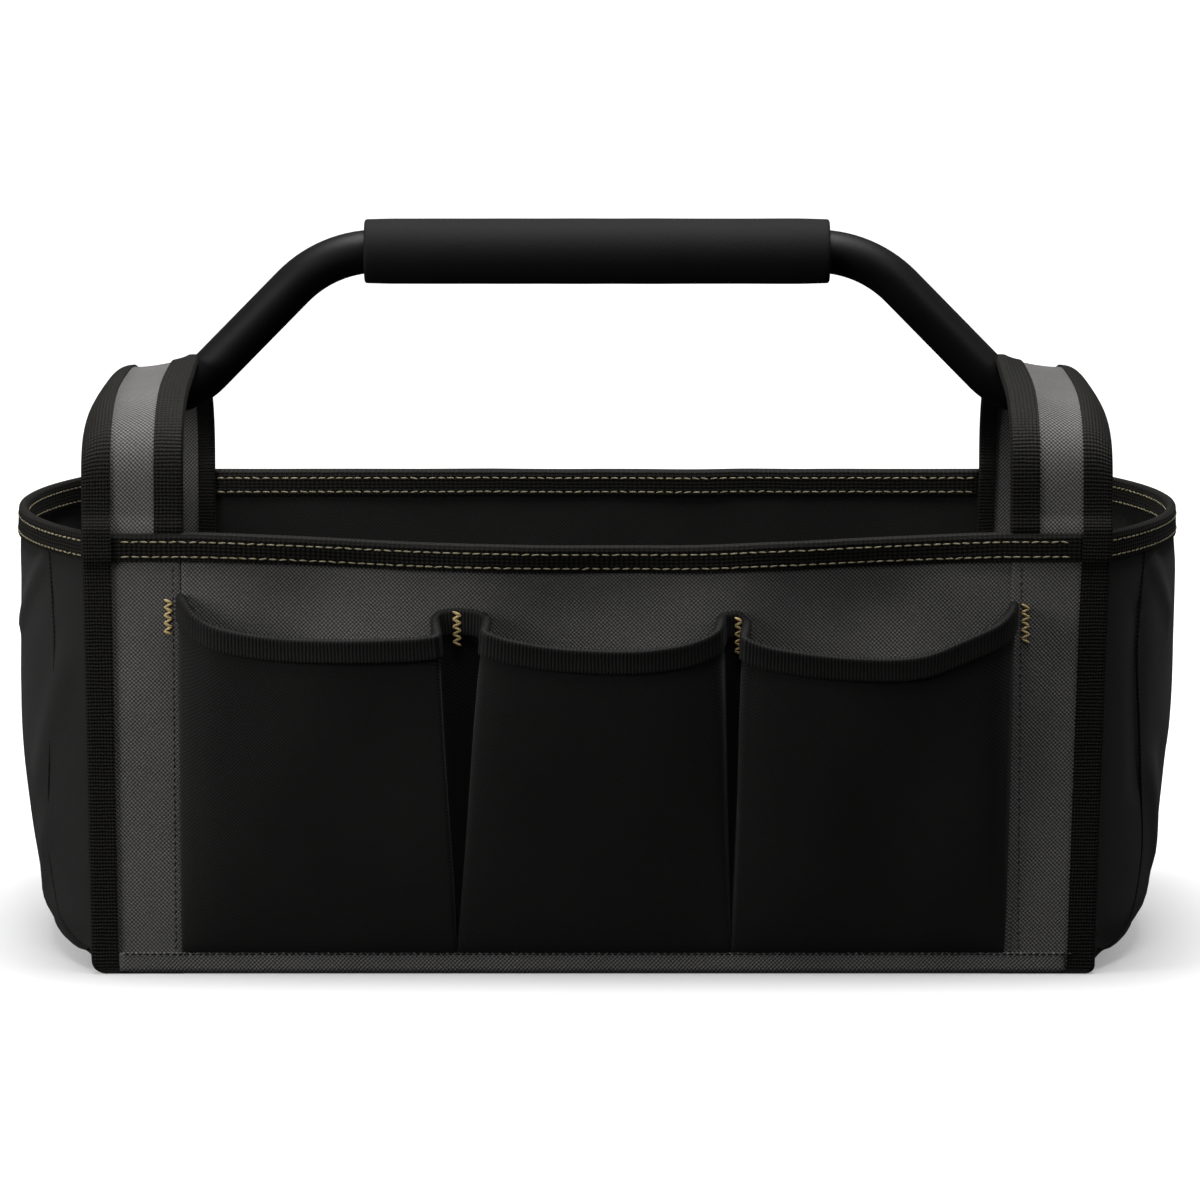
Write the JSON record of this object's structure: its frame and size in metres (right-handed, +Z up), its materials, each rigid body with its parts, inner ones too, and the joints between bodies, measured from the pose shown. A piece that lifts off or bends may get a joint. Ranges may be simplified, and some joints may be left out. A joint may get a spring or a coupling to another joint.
{
  "type": "open top tool tote",
  "caption": "Open cloth tool carrier with a bent tube handle in strap loops, a foam grip and gathered front pockets.",
  "frame": {"origin": "middle of the underside, on the surface that the tote stands on", "axes": "+X along the tote, -Y towards the pockets, +Z up"},
  "size_m": [0.507, 0.2614, 0.3123],
  "materials": {
    "grey_cloth": "matte woven cloth, coated behind",
    "black_cloth": "matte woven cloth",
    "black_tape": "ribbed woven tape",
    "painted_tube": "satin black powder coat",
    "foam": "matte closed-cell foam"
  },
  "bodies": {
    "root": {"body_panel": "black_cloth", "front_panel": "grey_cloth", "back_panel": "grey_cloth", "base_panel": "grey_cloth", "end_panel_left": "black_cloth", "end_panel_right": "black_cloth", "pocket_left": "black_cloth", "pocket_middle": "black_cloth", "pocket_right": "black_cloth", "pocket_tape_left": "black_tape", "pocket_tape_middle": "black_tape", "pocket_tape_right": "black_tape", "rim_tape_front": "black_tape", "rim_tape_back": "black_tape", "rim_tape_left": "black_tape", "rim_tape_right": "black_tape", "strap_left": "grey_cloth", "strap_right": "grey_cloth", "strap_outer_binding_left": "black_tape", "strap_outer_binding_right": "black_tape", "strap_inner_binding_left": "black_tape", "strap_inner_binding_right": "black_tape", "handle_tube": "painted_tube", "foam_grip": "foam"}
  },
  "joints": []
}
